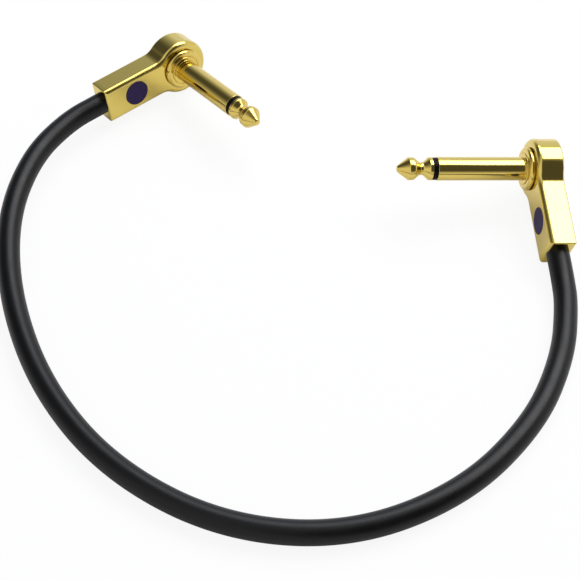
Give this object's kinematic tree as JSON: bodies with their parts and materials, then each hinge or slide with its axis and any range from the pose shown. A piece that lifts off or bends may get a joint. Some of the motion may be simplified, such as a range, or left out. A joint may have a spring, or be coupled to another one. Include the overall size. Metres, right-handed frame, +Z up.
{
  "type": "instrument cable",
  "caption": "Short black instrument patch cable with polished gold flat right-angle quarter-inch plugs at its ends, lying in a wide open loop.",
  "frame": {"origin": "on the surface that the cable lies on, under the middle of the box round the plugs", "axes": "+X from the left plug to the right plug, +Y away from the loop's bend, +Z up"},
  "size_m": [0.1529, 0.1636, 0.0197],
  "materials": {
    "gold_housing": "polished gold plate",
    "gold_shaft": "polished gold plate",
    "gold_screw": "polished gold plate",
    "black_insulator": "moulded",
    "white_insulator": "moulded",
    "bare_brass": "satin",
    "solder": "solidified solder",
    "badge": "plain enamel, dark indigo",
    "jacket": "satin black",
    "shield": "tinned copper braid",
    "core_insulation": "extruded",
    "conductor": "bare copper strands"
  },
  "bodies": {
    "root": {"cable_conductor": "conductor", "cable_insulation": "core_insulation", "cable_jacket": "jacket", "cable_shield": "shield", "left_back_cover": "gold_housing", "left_badge": "badge", "left_cover_screws": "gold_screw", "left_ground_lug": "bare_brass", "left_ground_solder": "solder", "left_housing": "gold_housing", "left_insulating_ring": "black_insulator", "left_insulating_tube": "white_insulator", "left_lock_ring": "bare_brass", "left_rear_washer": "white_insulator", "left_shield_ferrule": "bare_brass", "left_sleeve": "gold_shaft", "left_tip": "gold_shaft", "left_tip_lug": "bare_brass", "left_tip_rivet": "bare_brass", "left_tip_solder": "solder", "right_back_cover": "gold_housing", "right_badge": "badge", "right_cover_screws": "gold_screw", "right_ground_lug": "bare_brass", "right_ground_solder": "solder", "right_housing": "gold_housing", "right_insulating_ring": "black_insulator", "right_insulating_tube": "white_insulator", "right_lock_ring": "bare_brass", "right_rear_washer": "white_insulator", "right_shield_ferrule": "bare_brass", "right_sleeve": "gold_shaft", "right_tip": "gold_shaft", "right_tip_lug": "bare_brass", "right_tip_rivet": "bare_brass", "right_tip_solder": "solder"}
  },
  "joints": []
}
